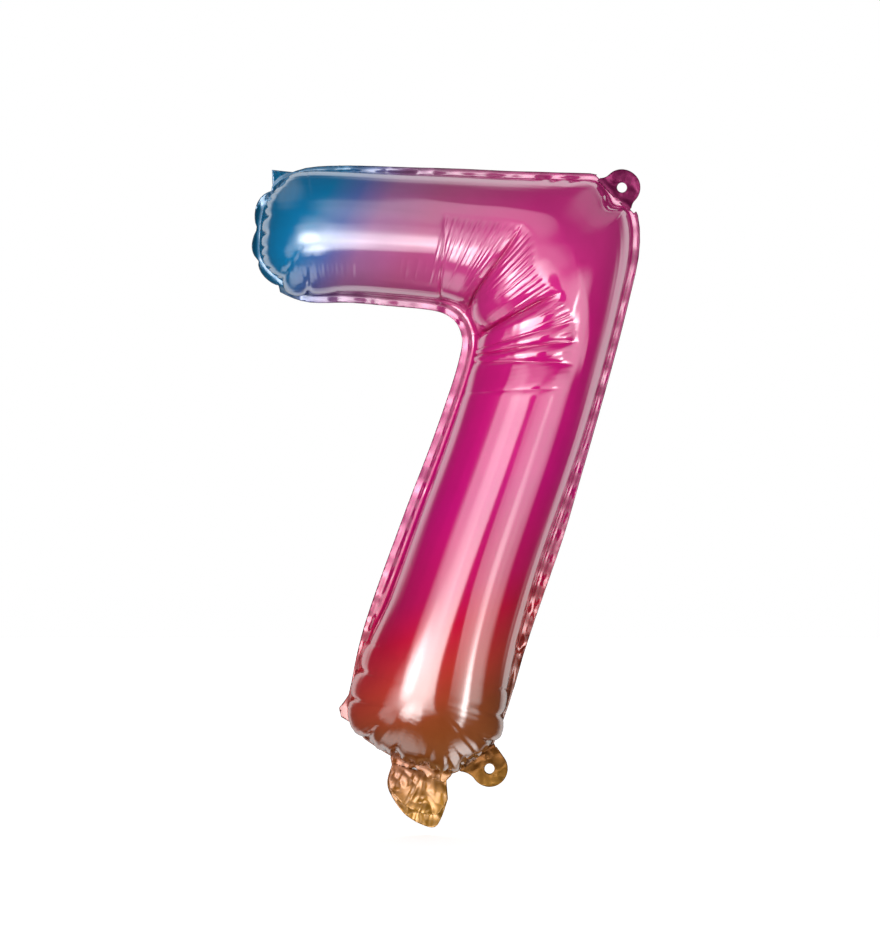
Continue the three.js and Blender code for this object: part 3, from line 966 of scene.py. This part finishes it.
def foil(name, painted_shade=1.0, roughness=0.75, coat=1.0):
    """Metallised film with printed colour under a glossy face; a factor below 1 darkens that colour, which
    is painted shade on the film that hangs loose, the same printed film as the domes.
    """
    material = bpy.data.materials.new(name)
    material.use_nodes = True
    nodes = Nodes(material.node_tree)
    position = nodes.add("ShaderNodeTexCoord").outputs["Object"]
    colour = printed_colour(nodes, position)
    cloud = nodes.noise(position, Scale=38.0, Detail=3.0)
    # random tone over the film, scaled down by the painted shade factor
    level = nodes.between(cloud, 1.12 * painted_shade, 1.36 * painted_shade)
    tint = nodes.add("ShaderNodeVectorMath", {"operation": "SCALE"}, n0=colour, Scale=level).outputs[0]
    smudge = nodes.noise(position, Scale=120.0, Detail=4.0, Roughness=0.6)
    rough = nodes.between(smudge, roughness - 0.05, roughness + 0.07)
    skin = nodes.noise(position, Scale=420.0, Detail=2.0)
    bump = nodes.add("ShaderNodeBump", Strength=0.12, Distance=0.1 * MM, Height=skin).outputs[0]
    shader = material.node_tree.nodes["Principled BSDF"]
    nodes.put(shader, "Base Color", tint)
    nodes.put(shader, "Roughness", rough)
    nodes.put(shader, "Normal", bump)
    shader.inputs["Metallic"].default_value = 0.5
    shader.inputs["Specular IOR Level"].default_value = 0.1
    shader.inputs["Coat Weight"].default_value = coat
    shader.inputs["Coat Roughness"].default_value = 0.09
    shader.inputs["Coat IOR"].default_value = 1.75
    return material


def clear_film(name):
    """The valve's milky clear film."""
    material = bpy.data.materials.new(name)
    material.use_nodes = True
    nodes = Nodes(material.node_tree)
    position = nodes.add("ShaderNodeTexCoord").outputs["Object"]
    haze = nodes.noise(position, Scale=160.0, Detail=3.0)
    colour = nodes.ramp(haze, [(0.3, (226, 230, 232)), (0.7, (244, 246, 247))])
    shader = material.node_tree.nodes["Principled BSDF"]
    nodes.put(shader, "Base Color", colour)
    nodes.put(shader, "Roughness", nodes.between(haze, 0.18, 0.34))
    shader.inputs["Alpha"].default_value = 0.6
    return material


# ---------------------------------------------------------------- floor, light and camera

def compass(azimuth, elevation):
    """A direction from its azimuth, from the front towards +X, and its elevation, in degrees."""
    turn, lift = math.radians(azimuth), math.radians(elevation)
    return (math.sin(turn) * math.cos(lift), -math.cos(turn) * math.cos(lift), math.sin(lift))


# The studio's soft boxes, and the dark flags that take light away: azimuth and elevation of the middle,
# half width and half height, all in degrees, the share of that at full strength, and the strength.
AMBIENT = 0.05
SOFT_BOXES = [
    (-16, -12, 46, 24, 0.1, 9.5),
    (-28, -26, 15, 12, 0.2, 8.0),
    (-27, 8, 24, 26, 0.4, 2.6),
    (-33, -6, 13, 13, 0.1, 8.0),
    (-56, -24, 12, 16, 0.3, 1.6),
    (44, -14, 32, 24, 0.4, 2.8),
    (40, -25, 9, 16, 0.1, 13.0),
    (4, 10, 32, 18, 0.3, 1.3),
    (-6, 42, 28, 28, 0.3, 1.3),
    (-95, 50, 36, 26, 0.4, 0.6),
    (95, 50, 36, 26, 0.4, 0.7),
    (-85, -62, 40, 20, 0.4, 1.8),
    (100, -66, 36, 20, 0.4, 4.5),
    (8, -15, 10, 15, 0.45, -20.0),
    (3, -42, 18, 14, 0.5, -6.0),
    (180, 0, 70, 70, 0.8, 1.6),
    (180, 0, 60, 60, 0.15, -1.3),
    (180, -66, 50, 24, 0.4, -0.8),
]


def studio_light():
    """Light from all round, stronger in soft boxes; the camera sees plain white."""
    world = bpy.data.worlds.new("studio")
    bpy.context.scene.world = world
    world.use_nodes = True
    world.node_tree.nodes.clear()
    nodes = Nodes(world.node_tree)
    direction = nodes.add("ShaderNodeTexCoord").outputs["Generated"]
    total = AMBIENT
    for azimuth, elevation, wide, high, full, strength in SOFT_BOXES:
        ahead = Vector(compass(azimuth, elevation))
        right = Vector(compass(azimuth + 90, 0))
        across = nodes.math("DIVIDE", nodes.dot(direction, right), math.sin(math.radians(wide)))
        up = nodes.math("DIVIDE", nodes.dot(direction, right.cross(ahead)), math.sin(math.radians(high)))
        squares = nodes.math("MULTIPLY_ADD", across, across, nodes.math("MULTIPLY", up, up))
        out = nodes.math("SQRT", squares)
        inside_box = nodes.step(out, 1.0, full, strength)
        facing = nodes.math("GREATER_THAN", nodes.dot(direction, ahead), 0.0)
        total = nodes.math("MULTIPLY_ADD", inside_box, facing, total)
    total = nodes.math("MAXIMUM", total, 0.0)
    seen = nodes.add("ShaderNodeLightPath").outputs["Is Camera Ray"]
    strength = nodes.add("ShaderNodeMix", n0=seen, n2=total, n3=1.0).outputs[0]
    background = nodes.add("ShaderNodeBackground", Color=(1, 1, 1, 1), Strength=strength)
    nodes.add("ShaderNodeOutputWorld", Surface=background.outputs[0])


def studio_floor():
    """A pale floor just under the tail, which the balloon's film doesn't mirror."""
    reach = 3.0
    level = CAD_BOX[0][2] - 4 * MM
    corners = [(-reach, -reach), (reach, -reach), (reach, reach), (-reach, reach)]
    points = np.array([(x, y, level) for x, y in corners])
    material = bpy.data.materials.new("floor")
    material.use_nodes = True
    shader = material.node_tree.nodes["Principled BSDF"]
    shader.inputs["Base Color"].default_value = (0.9, 0.9, 0.9, 1)
    shader.inputs["Roughness"].default_value = 0.8
    shader.inputs["Emission Color"].default_value = (1, 1, 1, 1)
    shader.inputs["Emission Strength"].default_value = 0.6
    floor = add_mesh("floor", points, np.array([[0, 1, 2, 3]]), material)
    floor.visible_glossy = False
    floor.visible_diffuse = False


def photo_camera():
    """The photograph's view: square on to the numeral, from far enough that it hardly narrows."""
    camera = bpy.data.objects.new("camera", bpy.data.cameras.new("camera"))
    bpy.context.scene.collection.objects.link(camera)
    bpy.context.scene.camera = camera
    distance = 2.6
    seen = 0.5628  # the larger side of the view, measured on the seam plane
    middle_x, middle_z = -0.1092, -0.1689
    camera.location = (middle_x, -distance, middle_z)
    camera.rotation_euler = (math.pi / 2, 0, 0)
    camera.data.sensor_width = 36
    camera.data.lens = camera.data.sensor_width * distance / seen


# ---------------------------------------------------------------- the balloon

bpy.context.scene.view_settings.view_transform = "Standard"
photo_camera()
studio_light()
studio_floor()
FILM = foil("printed_foil")
# the rim, tabs and tail are the same printed foil made darker: painted shade, not a colour of their own
LOOSE_FILM = foil("loose_foil", painted_shade=0.48, roughness=0.4, coat=0.75)
TOP_TAB_FILM = foil("top_tab_foil", painted_shade=0.2, roughness=0.4, coat=0.03)
TAB_FILM = foil("bottom_tab_foil", painted_shade=0.40, roughness=0.4, coat=0.03)
TAIL_FILM = foil("tail_foil", painted_shade=0.7, roughness=0.4, coat=0.35)
VALVE_FILM = clear_film("valve_film")
panel_piece("inflated_front_film", "front_panel", 1, -1, FILM)
panel_piece("inflated_back_film", "back_panel", 2, 1, FILM)
rim_piece(LOOSE_FILM)
hang_tab("top_hang_tab", "top_tab_fold", "top_tab", TOP_TAB_FILM, 51)
hang_tab("bottom_hang_tab", "bottom_tab_fold", "bottom_tab", TAB_FILM, 61)
tail_pieces(TAIL_FILM)
valve_strip("valve_front_strip", "valve_front_film", "valve_inlet_front_film", -1, VALVE_FILM)
valve_strip("valve_back_strip", "valve_back_film", "valve_inlet_back_film", 1, VALVE_FILM)
